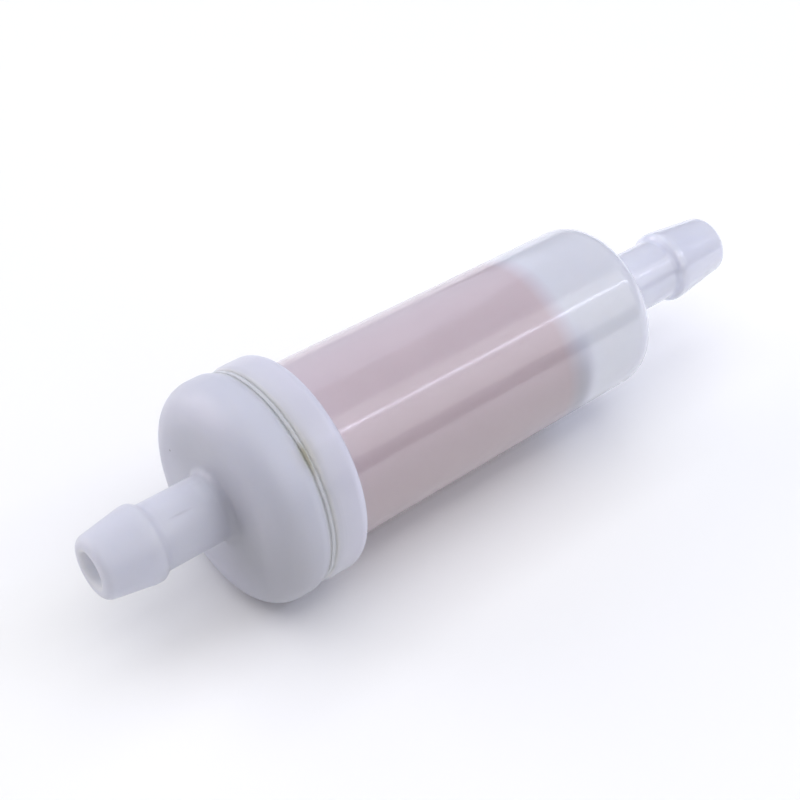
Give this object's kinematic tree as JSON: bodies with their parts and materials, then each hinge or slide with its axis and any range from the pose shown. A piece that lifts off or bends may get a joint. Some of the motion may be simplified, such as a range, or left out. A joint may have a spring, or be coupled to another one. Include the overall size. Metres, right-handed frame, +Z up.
{
  "type": "in-line fuel filter",
  "caption": "In-line fuel filter: round milky plastic bowl and welded cap with a barbed hose nipple at each end, and a pink pleated paper element inside.",
  "frame": {"origin": "on the flow axis, midway between the two nipple tips: the centre of the filter's box", "axes": "+X along the flow axis from the cap's nipple to the bowl's nipple, +Z up, the filter lying level"},
  "size_m": [0.1028, 0.0294, 0.0294],
  "materials": {
    "milky_nylon": "translucent natural nylon, satin moulded skin",
    "weld_nylon": "re-solidified nylon, slightly yellowed",
    "tray_nylon": "natural moulded nylon",
    "filter_paper": "resin-treated pink filter paper, dry and fibrous",
    "adhesive": "cured adhesive, waxy"
  },
  "bodies": {
    "root": {"cap": "milky_nylon", "bowl": "milky_nylon", "weld_bead": "weld_nylon", "open_end_disc": "tray_nylon", "closed_end_disc": "tray_nylon", "core_tube": "tray_nylon", "open_end_glue": "adhesive", "closed_end_glue": "adhesive", "side_seam_glue": "adhesive", "pleated_media": "filter_paper"}
  },
  "joints": []
}
